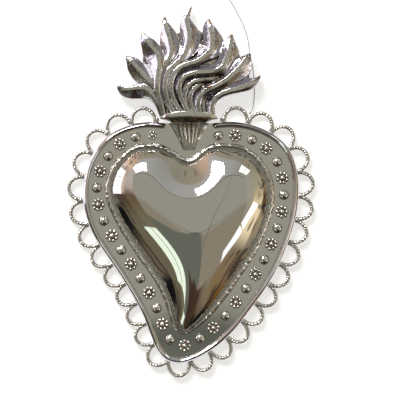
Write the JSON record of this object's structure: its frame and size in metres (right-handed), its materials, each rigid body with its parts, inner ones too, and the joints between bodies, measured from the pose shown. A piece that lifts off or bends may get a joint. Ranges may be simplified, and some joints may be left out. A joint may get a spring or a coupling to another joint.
{
  "type": "ex-voto heart",
  "caption": "Polished silver-plated flaming heart ex-voto: puffed hollow heart on a studded border with scalloped wire fringe, fluted stem, cup, relief flame and a nylon hanging thread.",
  "frame": {"origin": "under the middle of the metalwork's bounding box, on the surface it lies on", "axes": "+Z out of the front, +Y from the heart's tip to the flames, +X to the viewer's right"},
  "size_m": [0.1334, 0.2123, 0.0183],
  "materials": {
    "silver": "mirror-polished silver plate",
    "nylon": "clear smooth line"
  },
  "bodies": {
    "root": {"border_plate": "silver", "rim_wire": "silver", "dome_moulding": "silver", "heart_dome": "silver", "rosette_01": "silver", "rosette_02": "silver", "rosette_03": "silver", "rosette_04": "silver", "rosette_05": "silver", "rosette_06": "silver", "rosette_07": "silver", "rosette_08": "silver", "rosette_09": "silver", "rosette_10": "silver", "rosette_11": "silver", "rosette_12": "silver", "rosette_13": "silver", "rosette_14": "silver", "rosette_15": "silver", "rosette_16": "silver", "rosette_17": "silver", "boss_01": "silver", "boss_02": "silver", "boss_03": "silver", "boss_04": "silver", "boss_05": "silver", "boss_06": "silver", "boss_07": "silver", "boss_08": "silver", "boss_09": "silver", "boss_10": "silver", "boss_11": "silver", "boss_12": "silver", "boss_13": "silver", "boss_14": "silver", "boss_15": "silver", "boss_16": "silver", "boss_17": "silver", "fringe_1": "silver", "fringe_2": "silver", "fringe_3": "silver", "fringe_4": "silver", "stem": "silver", "cup": "silver", "flame": "silver", "hanging_thread": "nylon", "thread_knot": "nylon", "end_knot": "nylon"}
  },
  "joints": []
}
